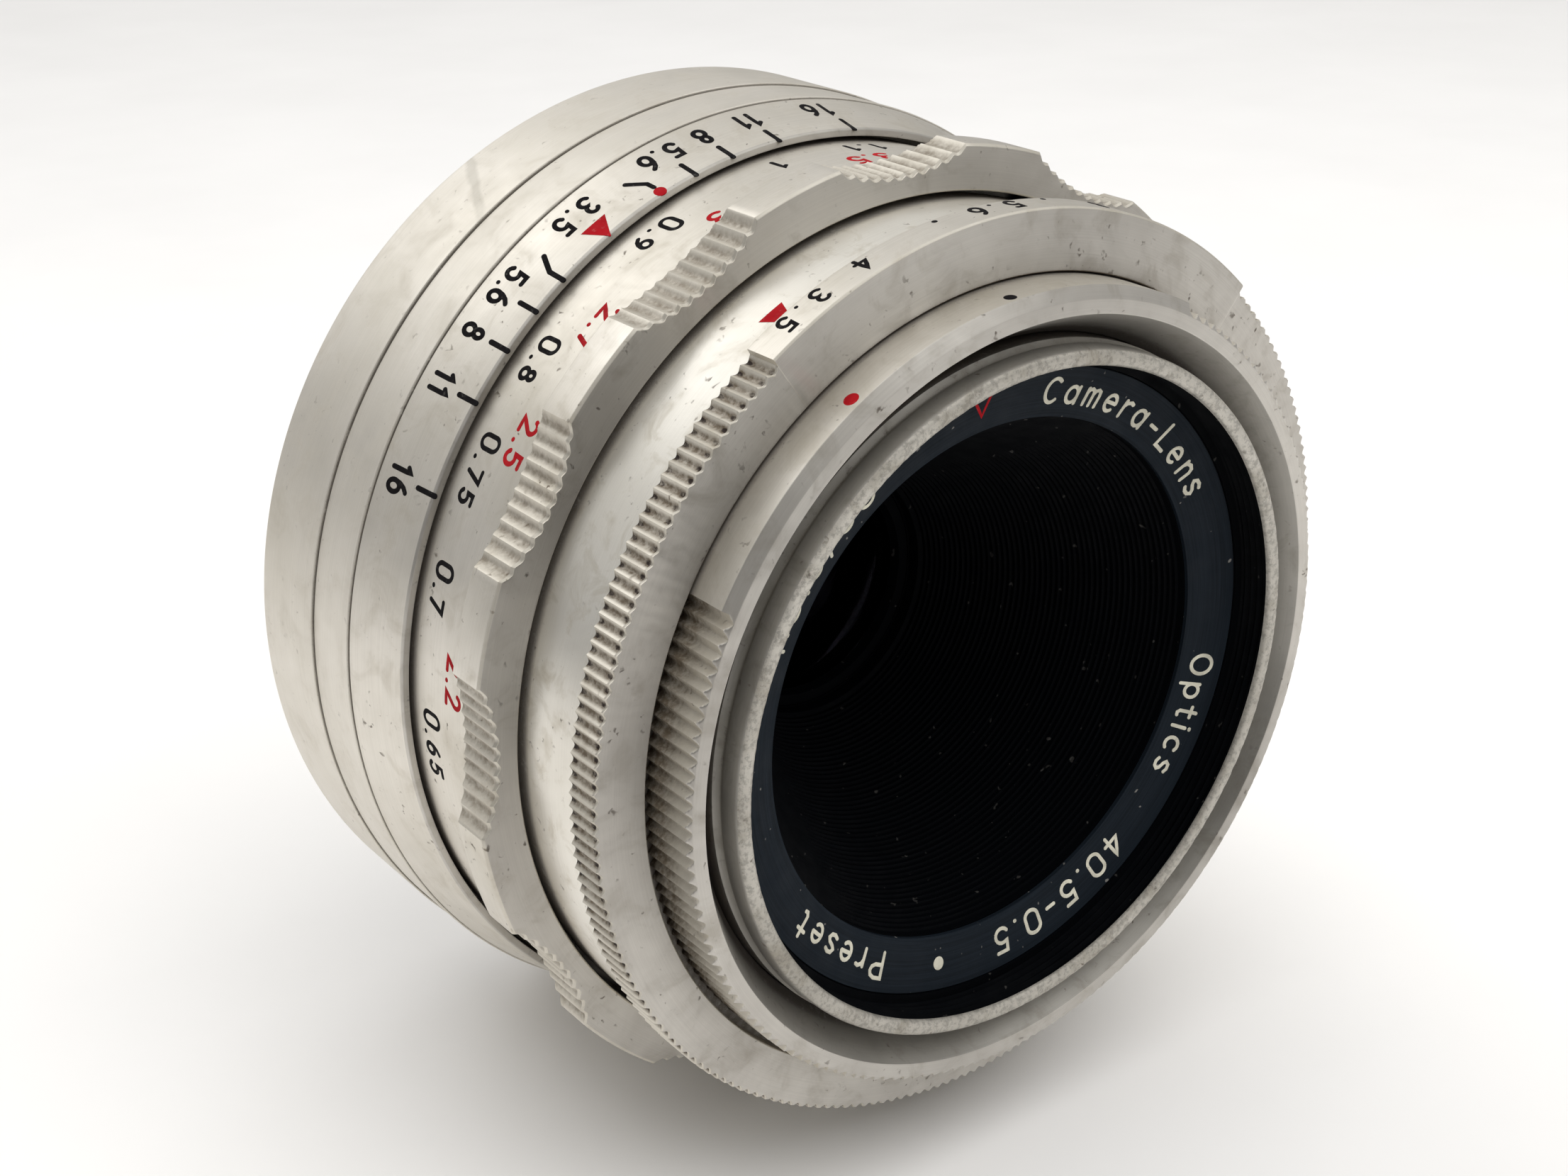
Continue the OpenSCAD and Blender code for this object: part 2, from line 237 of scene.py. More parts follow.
class Graph(Nodes):
    """a material: its Principled shader, object coordinates, and radius and angle round the axis."""

    def __init__(self, name):
        self.mat = bpy.data.materials.new(name)
        self.mat.use_nodes = True
        super().__init__(self.mat.node_tree)
        self.tree.nodes.clear()
        self.bsdf = self.node("ShaderNodeBsdfPrincipled")
        self.link(self.bsdf.outputs[0], self.node("ShaderNodeOutputMaterial").inputs[0])
        self.obj = self.node("ShaderNodeTexCoord").outputs["Object"]
        xyz = self.node("ShaderNodeSeparateXYZ")
        self.link(self.obj, xyz.inputs[0])
        self.x, self.y, self.z = xyz.outputs
        square = self.math("ADD", self.product(self.x, self.x), self.product(self.z, self.z))
        self.r = self.math("MULTIPLY", self.math("SQRT", square), 1 / MM)
        self.phi = self.math("ARCTAN2", self.z, self.x)

    def vec(self, x, y, z):
        n = self.node("ShaderNodeCombineXYZ")
        for s, v in zip(n.inputs, (x, y, z)):
            self.feed(s, v)
        return n.outputs[0]

    def noise(self, scale, detail=2.0, rough=0.55, vector=None, distort=0.0):
        n = self.node("ShaderNodeTexNoise")
        self.feed(n.inputs["Vector"], vector or self.obj)
        n.inputs["Scale"].default_value = scale
        n.inputs["Detail"].default_value = detail
        n.inputs["Roughness"].default_value = rough
        n.inputs["Distortion"].default_value = distort
        return n.outputs["Fac"]

    def bump(self, height, strength):
        n = self.node("ShaderNodeBump")
        n.inputs["Strength"].default_value = strength
        n.inputs["Distance"].default_value = 0.02 * MM
        self.feed(n.inputs["Height"], height)
        return n.outputs[0]

    def occlusion(self, distance):
        n = self.node("ShaderNodeAmbientOcclusion", samples=4)
        n.inputs["Distance"].default_value = distance
        return n.outputs["AO"]

    def turned(self, pitch):
        """fine lathe lines: noise stretched round the axis."""
        stretched = self.vec(self.product(self.phi, 2.5), self.product(self.y, 1 / MM / pitch),
                             self.product(self.r, 1 / pitch))
        return self.noise(1.0, 3.0, 0.6, stretched)

    def set(self, **values):
        """feeds the shader's inputs, Base_Color standing for Base Color."""
        for k, v in values.items():
            self.feed(self.bsdf.inputs[k.replace("_", " ")], v)


def rgb(r, g, b):
    return (r, g, b, 1.0)


def shade(color, *factors):
    """color times one factor, or times a factor for each channel."""
    factors = factors * 3 if len(factors) == 1 else factors
    return rgb(*[c * f for c, f in zip(color, factors)])


DRIP = 117.7           # angle of the dried drip at the flange, degrees
DRIP_SLANT = 1050      # its slant, degrees per metre along the axis


def run_off(g):
    """one dried drip slanting across the rear band, about half a millimetre wide."""
    wander = g.product(g.math("SUBTRACT", g.noise(260, 3, 0.6), 0.5), 0.05)
    middle = g.math("SUBTRACT", math.radians(DRIP), g.product(g.y, math.radians(DRIP_SLANT)))
    off = g.math("ABSOLUTE", g.math("ADD", g.math("SUBTRACT", g.phi, middle), wander))
    return g.math("MULTIPLY", g.fit(off, 0.017, 0.007), g.fit(g.y, -0.0085, -0.0055), True)


def leaning(g, normal, lean):
    """normal tipped forward by lean."""
    tip = g.node("ShaderNodeVectorMath", operation="ADD")
    g.link(normal, tip.inputs[0])
    tip.inputs[1].default_value = (0, -lean, 0)
    unit = g.node("ShaderNodeVectorMath", operation="NORMALIZE")
    g.link(tip.outputs[0], unit.inputs[0])
    return unit.outputs[0]


def metal(name, tone, dark, rough, aniso=0.5, specks=0.5, stain=0.35, dirt_and_shade=rgb(0.07, 0.05, 0.035),
          grime_and_shade=0.8, reach=0.8, lean=0.0, drip=False, sheen=0.85, mottle=0.0):
    """worn satin metal with stains, specks, soiling and painted shade in its corners, and soiling with
    painted shade where the mesh says so.

    reach is how far the soiling and painted shade spread from a corner in mm, lean tips the surface forward,
    and sheen is the mirror part of its light.
    """
    g = Graph(name)
    broad = g.noise(90, 4, 0.6)
    blotch = g.noise(420, 4, 0.65, distort=0.6)
    fine = g.noise(3800, 3, 0.6)
    lines = g.turned(0.07)
    crumbs = g.product(g.math("ADD", fine, g.noise(900, 3, 0.7)), 0.5)

    spots = g.product(g.fit(g.noise(1900, 2, 0.55, distort=0.4), 0.665, 0.75),
                      g.fit(g.noise(300, 2, 0.6), 0.42, 0.60))
    spots = g.math("MULTIPLY", spots, specks, True)
    # painted shade: darker where ambient occlusion finds corners and creases
    closed = g.product(g.fit(g.occlusion(reach * MM), 0.94, 0.34), 0.62)
    crease_shade_and_dirt = g.math("MULTIPLY", g.fit(g.math("ADD", crumbs, closed), 0.78, 0.90), grime_and_shade, True)
    soil_and_shade = g.node("ShaderNodeAttribute", attribute_name="soil_and_shade").outputs["Fac"]
    packed_dirt_and_shadow = g.math("MULTIPLY", g.fit(soil_and_shade, 1.15, 1.5), g.fit(crumbs, 0.40, 0.55, 0.3, 1.0), True)
    soil_and_shade = g.math("MULTIPLY", g.fit(soil_and_shade, 0.2, 0.85), g.fit(crumbs, 0.38, 0.58, 0.45, 1.0), True)

    color = g.mix(g.fit(broad, 0.35, 0.7), tone, dark)
    color = g.mix(g.math("MULTIPLY", g.fit(blotch, 0.52, 0.75), stain, True), color,
                  shade(dark, 0.72, 0.68, 0.6))
    color = g.mix(g.product(g.fit(lines, 0.3, 0.7), 0.25), color, shade(dark, 0.8))
    color = g.mix(g.product(spots, 0.8), color, shade(dirt_and_shade, 1.6))
    # soiling with painted shade in the knurl valleys
    color = g.mix(soil_and_shade, color, rgb(0.17, 0.135, 0.095))
    # near black at the valleys' ends: painted shadow with soiling
    color = g.mix(packed_dirt_and_shadow, color, rgb(0.022, 0.012, 0.009))
    if mottle:
        color = g.mix(g.product(g.fit(g.noise(3000, 4, 0.75), 0.47, 0.60), mottle), color, shade(dark, 0.45))
    # painted shade with soiling in corners and creases
    color = g.mix(crease_shade_and_dirt, color, dirt_and_shade)
    if drip:
        color = g.mix(g.product(run_off(g), 0.3), color, rgb(0.33, 0.31, 0.26))

    dull = g.math("MAXIMUM", g.product(crease_shade_and_dirt, 0.7), g.product(soil_and_shade, 0.6))
    uneven = g.math("ADD", g.fit(blotch, 0.3, 0.75, rough - 0.05, rough + 0.1), g.product(spots, 0.3))
    relief = g.math("ADD", g.product(fine, 0.6), g.product(lines, 0.5))
    normal = g.bump(g.math("SUBTRACT", relief, g.product(spots, 1.2)), 0.35)
    g.set(Base_Color=color, Metallic=g.product(g.math("SUBTRACT", 1.0, dull), sheen),
          Roughness=g.math("ADD", uneven, g.product(g.math("MAXIMUM", crease_shade_and_dirt, soil_and_shade), 0.25)),
          Anisotropic=aniso, Anisotropic_Rotation=0.25, Normal=leaning(g, normal, lean) if lean else normal,
          Tangent=g.node("ShaderNodeTangent", direction_type="RADIAL", axis="Y").outputs[0])
    return g.mat


def paint(name, color, rough=0.55, worn=0.25, under=rgb(0.5, 0.48, 0.44)):
    """paint in engraved marks, chipped by worn down to the metal under it."""
    g = Graph(name)
    chips = g.math("MULTIPLY", g.fit(g.noise(2600, 3, 0.7), 0.60, 0.72), worn, True)
    tone = g.mix(g.fit(g.noise(900, 3, 0.6), 0.3, 0.7), color, shade(color, 0.7))
    g.set(Base_Color=g.mix(chips, tone, under), Normal=g.bump(g.noise(5000, 3, 0.6), 0.3),
          Roughness=g.fit(g.noise(1500, 2), 0.3, 0.7, rough - 0.1, rough + 0.15), Specular_IOR_Level=0.15)
    return g.mat


def black(name, color, rough, dust=0.1):
    """blackened metal with faint lathe lines and dust."""
    g = Graph(name)
    lines = g.turned(0.09)
    motes = g.math("MULTIPLY", g.fit(g.noise(1700, 1), 0.74, 0.78), dust, True)
    tone = g.mix(g.fit(lines, 0.3, 0.7), color, shade(color, 1.8))
    relief = g.math("ADD", g.product(lines, 0.5), g.noise(4200, 2))
    g.set(Base_Color=g.mix(motes, tone, rgb(0.4, 0.38, 0.35)), Normal=g.bump(relief, 0.25),
          Roughness=g.fit(g.noise(700, 3), 0.3, 0.7, rough - 0.08, rough + 0.1), Specular_IOR_Level=0.07)
    return g.mat


def glass(name, tint, coat_tint):
    """tinted glass with a faint smear and a coloured reflection."""
    g = Graph(name)
    smear = g.noise(260, 4, 0.7, distort=1.5)
    g.set(Base_Color=g.mix(g.fit(smear, 0.4, 0.8), tint, shade(tint, 0.92)), Transmission_Weight=1.0,
          IOR=1.35, Roughness=g.fit(smear, 0.45, 0.85, 0.0, 0.05), Specular_IOR_Level=0.08,
          Specular_Tint=coat_tint, Normal=g.bump(g.noise(120, 2), 0.01))
    return g.mat


SILVER = rgb(0.84, 0.80, 0.73)
SILVER_DARK = rgb(0.68, 0.64, 0.56)
m_band = metal("satin_band", SILVER, rgb(0.74, 0.70, 0.62), 0.50, aniso=0.2, specks=0.35, stain=0.2,
               drip=True)
m_ring = metal("satin_ring", SILVER, SILVER_DARK, 0.42, aniso=0.3, specks=0.9, stain=0.35)
m_scale = metal("satin_scale", SILVER, SILVER_DARK, 0.42, aniso=0.3, specks=0.9, stain=0.35, lean=0.22)
# toned brighter than the other satin parts: painted highlight on the neck
m_neck = metal("satin_neck", rgb(0.93, 0.90, 0.83), rgb(0.79, 0.755, 0.68), 0.34, aniso=0.2, specks=0.75,
               stain=0.75, lean=0.22)
# the same turned metal toned darker than the other satin parts: painted shade on the faces
m_face = metal("satin_face", rgb(0.72, 0.69, 0.635), rgb(0.58, 0.55, 0.505), 0.38, aniso=1.0, specks=0.9,
               stain=0.45)
# a darker copy of the satin metal: painted shade on the filter collar's outer wall and the aperture ring's
# inner cone
m_painted_shade = metal("painted_shade_wall", rgb(0.52, 0.50, 0.46), rgb(0.38, 0.365, 0.335), 0.45, specks=0.7, stain=0.6)
m_knurl = metal("satin_knurl", rgb(0.74, 0.70, 0.62), SILVER_DARK, 0.45, aniso=0.0, specks=0.9, stain=0.5,
                dirt_and_shade=rgb(0.085, 0.058, 0.036), grime_and_shade=0.9, reach=0.5, sheen=0.75)
m_rim = metal("rough_rim", rgb(0.66, 0.63, 0.57), rgb(0.46, 0.435, 0.385), 0.55, aniso=0.0, specks=1.0,
              stain=0.7, sheen=0.6, mottle=0.5)
m_dull = metal("dull_turned", rgb(0.50, 0.49, 0.47), rgb(0.38, 0.37, 0.35), 0.45, specks=0.5)
m_brass = metal("turned_brass", rgb(0.72, 0.55, 0.27), rgb(0.52, 0.38, 0.17), 0.35, specks=0.5)
m_steel = metal("screw_steel", rgb(0.45, 0.44, 0.43), rgb(0.30, 0.29, 0.28), 0.35, aniso=0.1)
m_black = black("matte_black", rgb(0.0006, 0.0009, 0.0015), 0.7)
m_name = black("name_ring_black", rgb(0.007, 0.010, 0.014), 0.55, dust=0.5)
m_iris = black("iris_black", rgb(0.012, 0.012, 0.013), 0.5, dust=0.0)
m_glass = glass("coated_glass", rgb(0.30, 0.31, 0.34), rgb(0.45, 0.42, 0.55))
p_black = paint("black_fill", rgb(0.006, 0.005, 0.006), rough=0.8, worn=0.1)
p_red = paint("red_fill", rgb(0.42, 0.006, 0.012), rough=0.75, worn=0.15)
p_cream = paint("cream_fill", rgb(0.78, 0.75, 0.62), rough=0.6, worn=0.3, under=rgb(0.05, 0.05, 0.05))


def show(obj, body, node):
    """hands the piece to its body in place of a CAD node, or as an extra when node is None."""
    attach(obj, body)
    if node:
        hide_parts(node)


# ---------------------------------------------------------------- knurls
FAR_OUT = 1e3          # a radius limit that cuts nothing


def teeth(phi, start, pitch, count, crest, tooth, seed):
    """radius of rounded teeth counted from start, and how deep in a valley each point is, 0 to 1."""
    t = (phi - start) % 360 / pitch
    k = np.clip(np.floor(t), 0, count - 1).astype(int)
    chance = np.random.default_rng(seed)
    wear = chance.uniform(0.0, 0.15, count)[k]
    depth = chance.uniform(0.85, 1.0, count)[k]
    f = 0.5 - 0.5 * np.cos(2 * np.pi * (t - k))
    inside = t < count
    valley = f ** 0.7
    cut = crest - tooth * (valley * depth + wear * (1 - valley) * 0.5)
    return np.where(inside, cut, FAR_OUT), np.where(inside, valley, 0.0)


def tooth_angles(start, pitch, count):
    """angles that follow each tooth, with a sharp step at both ends of the toothed arc."""
    steps = np.array([0.0, 0.12, 0.24, 0.37, 0.5, 0.63, 0.76, 0.88])
    clear, hair = 0.05, 0.001
    end = start + count * pitch
    a = [start - clear]
    for k in range(count):
        a += list(start + (k + steps) * pitch + (hair if k == 0 else 0))
    return a + [end - hair, end + clear]


def bevel(z, edge, size):
    """how far the teeth are cut back beyond z = edge."""
    return np.clip((z - edge) / size, 0, 1) * size


def all_angles(parts, gap=1.0):
    """angles of the parts plus an even fill, sorted and kept apart."""
    a = np.concatenate([np.array(p) % 360 for p in parts])
    a = np.unique(np.round(a, 4))
    fill = []
    for p, q in zip(a, np.append(a[1:], a[0] + 360)):
        if q - p > gap:
            fill += list(np.linspace(p, q, int((q - p) / gap) + 2)[1:-1] % 360)
    return np.unique(np.round(np.concatenate([a, fill]), 4))


# ---------------------------------------------------------------- fixed mount
BORE = 28.62           # bore of the rear shell, radius
SCREW_CIRCLE = 27.75   # radius of the flange screws' circle


def drill_screw_holes(obj):
    """four counterbored holes in the rear face."""
    holes = bmesh.new()
    for a in np.radians((45, 135, 225, 315)):
        for radius, depth in ((0.85, 1.15), (0.58, 3.2)):
            middle = Vector((SCREW_CIRCLE * math.cos(a), -depth / 2 + 0.5, SCREW_CIRCLE * math.sin(a))) * MM
            bmesh.ops.create_cone(holes, cap_ends=True, segments=32, radius1=radius * MM,
                                  radius2=radius * MM, depth=(depth + 1) * MM,
                                  matrix=Matrix.Translation(middle) @ Matrix.Rotation(math.pi / 2, 4, "X"))
    mesh = bpy.data.meshes.new("cutter")
    holes.to_mesh(mesh)
    holes.free()
    cutter = bpy.data.objects.new("cutter", mesh)
    bpy.context.scene.collection.objects.link(cutter)
    mod = obj.modifiers.new("screw_holes", "BOOLEAN")
    mod.object = cutter
    mod.use_self = True
    bpy.context.view_layer.update()
    drilled = bpy.data.meshes.new_from_object(obj.evaluated_get(bpy.context.evaluated_depsgraph_get()))
    obj.modifiers.clear()
    obj.data = drilled
    obj.data.set_sharp_from_angle(angle=math.radians(30))
    bpy.data.objects.remove(cutter)


z0, z1, R = span("rear_shell")
shell_profile = [(25.6, z0), (R - 0.35, z0), (R, z0 + 0.35), (R, z1 - 0.05), (R - 0.06, z1), (BORE, z1),
    (BORE, 1.8), (26.95, 1.8), (26.95, 0.9), (25.6, 0.9)]
shell = ring("rear_band", soften(shell_profile, 0.12), m_band)
drill_screw_holes(shell)
show(shell, "mount", "rear_shell")

z0, z1, R = span("retaining_collar")
collar_profile = [(BORE, z0), (R - 0.08, z0), (R, z0 + 0.08), (R, z1 - 0.06), (R - 0.06, z1), (BORE, z1)]
show(ring("mid_band", soften(collar_profile, 0.05), m_band), "mount", "retaining_collar")

z0, z1, R = span("depth_scale_ring")
DOF_BACK, DOF_FRONT = (R, z0 + 0.08), (29.58, z1 - 0.2)
depth_profile = [(BORE, z0), (R - 0.06, z0), DOF_BACK, DOF_FRONT, (29.5, z1), (29.1, z1), (29.1, 13.6),
    (BORE, 13.6)]
depth_body = ring("depth_scale_body", soften(depth_profile, 0.05), m_ring)
coat(depth_body, m_face, lambda r, z, out, fore: z > 15.3 and fore > 0.3)
show(depth_body, "mount", "depth_scale_ring")

z0 = span("mount_flange")[0]
thread_rows = np.arange(z0 + 0.35, -0.12, 0.08)


def mount_thread(phi, r, z):
    """M42 x 1 turns cut into the stub, fading out at both ends."""
    wave = np.abs(((z + phi / 360) % 1.0) * 2 - 1)
    fade = np.clip((z - z0 - 0.3) / 0.3, 0, 1) * np.clip((-0.15 - z) / 0.3, 0, 1)
    cut = 0.55 * np.clip(1.15 - 1.3 * wave, 0, 1) * fade
    return np.where(r > 20.9, r - cut, r), z


flange_profile = [(19.2, z0), (20.6, z0), (20.98, z0 + 0.32)] + [(21.0, z) for z in thread_rows] + [
    (21.0, 0), (25.5, 0), (25.55, 0.05), (25.55, 0.95), (26.9, 0.95), (26.9, 4), (24.2, 4), (24.2, 1.8),
    (19.2, 1.8)]
show(ring("mount_thread_ring", flange_profile, m_dull, even(360), mount_thread), "mount", "mount_flange")

# ---------------------------------------------------------------- focusing ring
z0 = span("focus_grip")[0]
R = 30.4               # smooth lands between the scallops
GRIP_BAND = 28.8       # the cylinder that carries the distance scales
GROOVE = 8.7           # half the angle of a scallop
BOW = 12.2             # radius of the cutter that makes a scallop
DEEP = 29.15           # lowest crest radius in a scallop
SCALLOP_TEETH = 10
SCALLOP_PITCH = 2 * GROOVE / SCALLOP_TEETH
SEEN, STRIDE = 62.5, 28.9     # angle of the first scallop in the photo, and the step to the next
# five scallops as in the photo, and seven spread evenly over the rest of the turn
scallops = [SEEN + STRIDE * k for k in range(5)]
scallops += [scallops[-1] + (360 - 4 * STRIDE) / 8 * k for k in range(1, 8)]


def dish(t):
    """crest radius inside a scallop, t degrees off its middle."""
    t = np.radians(t)
    return (DEEP + BOW) * np.cos(t) - np.sqrt(np.maximum(BOW ** 2 - ((DEEP + BOW) * np.sin(t)) ** 2, 0))


def focus_shape(phi, r, z):
    """cuts the toothed scallops into the flange."""
    limit, soil_and_shade = np.full_like(r, FAR_OUT), np.zeros_like(r)
    for k, c in enumerate(scallops):
        t = (phi - c + 180) % 360 - 180
        inside = np.abs(t) < GROOVE
        cut, f = teeth(phi, c - GROOVE, SCALLOP_PITCH, SCALLOP_TEETH, crest=0.0, tooth=0.24, seed=50 + k)
        limit = np.where(inside, dish(np.clip(t, -GROOVE, GROOVE)) + cut, limit)
        # soiling and painted shade, darker deeper in each valley
        soil_and_shade = np.where(inside, 0.2 + 0.5 * f, soil_and_shade)
    grip = (z > 21.58) & (r > GRIP_BAND + 0.01)
    cut = np.minimum(r, np.maximum(limit - bevel(z, 25.0, 0.15), GRIP_BAND))
    return np.where(grip, cut, r), z, np.where(grip & (limit < FAR_OUT) & (z < 25.02), soil_and_shade, 0.0)


phis = all_angles([tooth_angles(c - GROOVE, SCALLOP_PITCH, SCALLOP_TEETH) for c in scallops])
grip_profile = soften([(28, z0), (GRIP_BAND, z0), (GRIP_BAND, 21.6), (R - 0.06, 22.44), (R, 22.52), (R, 25.0),
    (R - 0.15, 25.15), (27.8, 25.3), (27.7, 25.2), (27.7, 22.9), (28, 22.9), (28, 19.2), (26.6, 19.2),
    (26.6, 17.85), (28, 17.85)], 0.04)
grip_profile = refine(grip_profile, 0.15, lambda r, z: z > 25.0 and r > 28.7)
grip_profile = refine(grip_profile, 0.2, lambda r, z: 21.6 < z < 22.6 and r > 28.75)
grip = ring("focus_grip_body", grip_profile, m_knurl, phis, focus_shape)
coat(grip, m_scale, lambda r, z, out, fore: r < 28.85 and z < 21.65)
coat(grip, m_face, lambda r, z, out, fore: fore > 0.95)
coat(grip, m_ring, lambda r, z, out, fore: r > 30.3 and out > 0.9)
show(grip, "focus", "focus_grip")

# ---------------------------------------------------------------- lens head
z0, z1, R = span("neck_shell")
neck_profile = [(21.45, 28.2), (26.2, 28.2), (26.2, z0), (27.2, z0), (R, z0 + 0.1), (R, 30.65), (27.2, 30.75),
    (24, 30.75), (24, z1), (23.4, z1), (23.4, 29.8), (21.45, 29.8)]
show(ring("neck_body", soften(neck_profile, 0.05), m_neck), "lens_head", "neck_shell")

z0, z1, _ = span("filter_collar")
FILTER = 20.25         # crest radius of the M40.5 x 0.5 filter thread


def filter_thread(phi, r, z):
    """M40.5 x 0.5 turns in the bore and small nicks along the front rim."""
    inner = (r < FILTER + 0.02) & (z > 34.45) & (z < 36.5)
    wave = np.abs(((z + phi / 720) / 0.5 % 1.0) * 2 - 1)
    fade = np.clip((36.45 - z) / 0.2, 0, 1) * np.clip((z - 34.45) / 0.2, 0, 1)
    r = np.where(inner, r + 0.26 * wave * fade, r)
    a = np.radians(phi)
    nick = 0.02 * np.sin(a * 61 + 1.3) + 0.025 * np.sin(a * 143) + 0.02 * np.sin(a * 37 + 2)
    rim = np.clip((z - 36.55) / 0.25, 0, 1)
    return r, z - np.abs(nick) * rim


inner_rows = [(FILTER, z) for z in np.arange(36.45, 34.4, -0.045)]
outer_wall = [(21.35, z0), (21.4, z0 + 0.05), (21.4, 34.6), (21.3, 34.66), (21.1, 34.86), (21.05, 34.94),
    (21.06, 35.06), (21.14, 35.2), (21.28, 35.3), (21.3, 35.4), (21.26, 36.45)]
rim_round = [(21.2, 36.62), (21.1, 36.74), (20.95, z1 - 0.01), (20.8, z1), (20.6, z1), (20.45, z1 - 0.03),
    (20.34, 36.7), (20.29, 36.58)]
collar_profile = [(19.75, z0)] + outer_wall + rim_round + inner_rows + [(20.2, 34.42), (19.75, 34.38)]
collar = ring("filter_collar_body", collar_profile, m_face, even(720), filter_thread, sharp=50)
coat(collar, m_black, lambda r, z, out, fore: r < 20.62 and z < 36.62)
# painted shade on the collar's outer wall
coat(collar, m_painted_shade, lambda r, z, out, fore: r > 20.9 and z < 36.6)
coat(collar, m_rim, lambda r, z, out, fore: z > 36.6 or (z > 36.5 and r < 20.9))
show(collar, "lens_head", "filter_collar")

NAME_IN, NAME_OUT = 16.46, 19.7
FACE_IN, FACE_OUT = (NAME_IN + 0.3, 33.53), (19.66, 34.28)
name_profile = [(NAME_IN, 33.15), (19.65, 33.15), (NAME_OUT, 33.2), (NAME_OUT, 34.25), FACE_OUT,
    FACE_IN, (NAME_IN + 0.1, 33.46), (NAME_IN, 33.4)]
show(ring("name_ring_body", name_profile, m_name), "lens_head", "name_ring")

z0, z1, _ = span("front_baffle")
BAFFLE_GROOVES = 48
steps = []
for t in np.arange(BAFFLE_GROOVES) / BAFFLE_GROOVES:
    r, z = 8.45 + 7.9 * t, 16.9 + 16 * t
    steps += [(r + 0.02, z), (r + 0.20, z + 0.06)]
baffle_profile = [(16.4, z1), (19.7, z1), (19.7, 32.55), (16.9, 32.55), (9.15, 17.2), (9.15, z0), (8.35, z0),
    (8.35, 16.8)] + steps
show(ring("baffle_body", baffle_profile, m_black, even(300)), "lens_head", "front_baffle")

z0, z1, R = span("front_element")
CURVE = 20             # radius of the front surface
PIN = 0.002            # the glass is closed round a hair-thin hole on the axis
dome = [(r, z1 - CURVE + math.sqrt(CURVE ** 2 - r * r)) for r in np.linspace(PIN, R, 26)]
show(ring("front_glass", dome + [(R, z0), (PIN, z0)], m_glass, even(160)), "lens_head", "front_element")

# ---------------------------------------------------------------- preset ring
z0 = span("preset_ring")[0]
LAND_R = 28.45         # smooth land with the figures
PRESET_TEETH = 177
PRESET_START, PRESET_END = 124.6, 407.2
PRESET_PITCH = (PRESET_END - PRESET_START) / PRESET_TEETH
preset_profile = soften([(24.05, z0), (LAND_R - 0.08, z0), (LAND_R, z0 + 0.08), (LAND_R, 33.14),
    (LAND_R - 0.12, 33.24), (24.92, 33.42), (24.85, 33.36), (24.85, 32.45), (24.05, 32.45)], 0.04)
preset_profile = refine(preset_profile, 0.15, lambda r, z: r > 27.5 and z > 33.1)
preset_profile = refine(preset_profile, 0.25, lambda r, z: r > LAND_R - 0.01)


def preset_shape(phi, r, z):
    """cuts the long knurl, with soiling and painted shade in its valleys, near black at both ends of them as
    painted shadow with soiling.
    """
    limit, soil_and_shade = teeth(phi, PRESET_START, PRESET_PITCH, PRESET_TEETH, crest=28.05, tooth=0.26, seed=3)
    # near black at both ends of the valleys: painted shadow with soiling
    ends = np.clip(1.3 - np.minimum(abs(z - 33.05) / 0.3, abs(z - z0 - 0.15) / 0.3), 0, 1)
    soil_and_shade = soil_and_shade * (1.0 + ends * np.clip(soil_and_shade * 2 - 0.9, 0, 1))
    return np.minimum(r, limit - bevel(z, 33.08, 0.10)), z, np.where((r > 27.6) & (z < 33.105), soil_and_shade, 0.0)


phis = all_angles([tooth_angles(PRESET_START, PRESET_PITCH, PRESET_TEETH)])
preset = ring("preset_ring_body", preset_profile, m_knurl, phis, preset_shape)
coat(preset, m_face, lambda r, z, out, fore: fore > 0.95)
coat(preset, m_ring, lambda r, z, out, fore: r > 28.3 and out > 0.9)
show(preset, "preset", "preset_ring")

# ---------------------------------------------------------------- aperture ring
z0, z1, _ = span("aperture_ring")
RING_R = 24.75         # smooth land with the dots
FRONT_TEETH = 136
FRONT_START, FRONT_END = 151.1, 422.5
FRONT_PITCH = (FRONT_END - FRONT_START) / FRONT_TEETH
ring_profile = soften([(21.45, z0), (23.35, z0), (23.35, 32.5), (RING_R, 32.5), (RING_R, 36.08), (24.05, z1),
    (23.2, z1), (21.75, 33.75), (21.45, 33.4)], 0.05)
ring_profile = refine(ring_profile, 0.1, lambda r, z: r > 23.6 and (z > 36.0 or z < 32.6))


def aperture_shape(phi, r, z):
    """cuts the knurl, with soiling and painted shade in its valleys, darkest towards the rear as painted
    shadow with soiling.
    """
    limit, soil_and_shade = teeth(phi, FRONT_START, FRONT_PITCH, FRONT_TEETH, crest=24.4, tooth=0.4, seed=4)
    cut = np.minimum(r, limit)
    grip = (z > 32.4) & (r > 23.6)
    # darker towards the rear: painted shadow under the preset ring's face, with soiling
    deep = np.clip(0.42 + 0.6 * soil_and_shade + (33.9 - z) / 1.4, 0, 1.45)
    return np.where(grip, cut, r), z, np.where(grip & (r > cut) & (z < 36.3), deep, 0.0)


phis = all_angles([tooth_angles(FRONT_START, FRONT_PITCH, FRONT_TEETH)])
aperture = ring("aperture_ring_body", ring_profile, m_knurl, phis, aperture_shape)
coat(aperture, m_face, lambda r, z, out, fore: fore > 0.3 and z > 35.9 and r > 23.2)
# painted shade on the ring's inner cone
coat(aperture, m_painted_shade, lambda r, z, out, fore: r < 23.2 and z > 33)
coat(aperture, m_ring, lambda r, z, out, fore: r > 24.65 and out > 0.9)
show(aperture, "aperture", "aperture_ring")

# ---------------------------------------------------------------- engraved marks
FULL = 0.62            # width of a character that WIDTH doesn't list


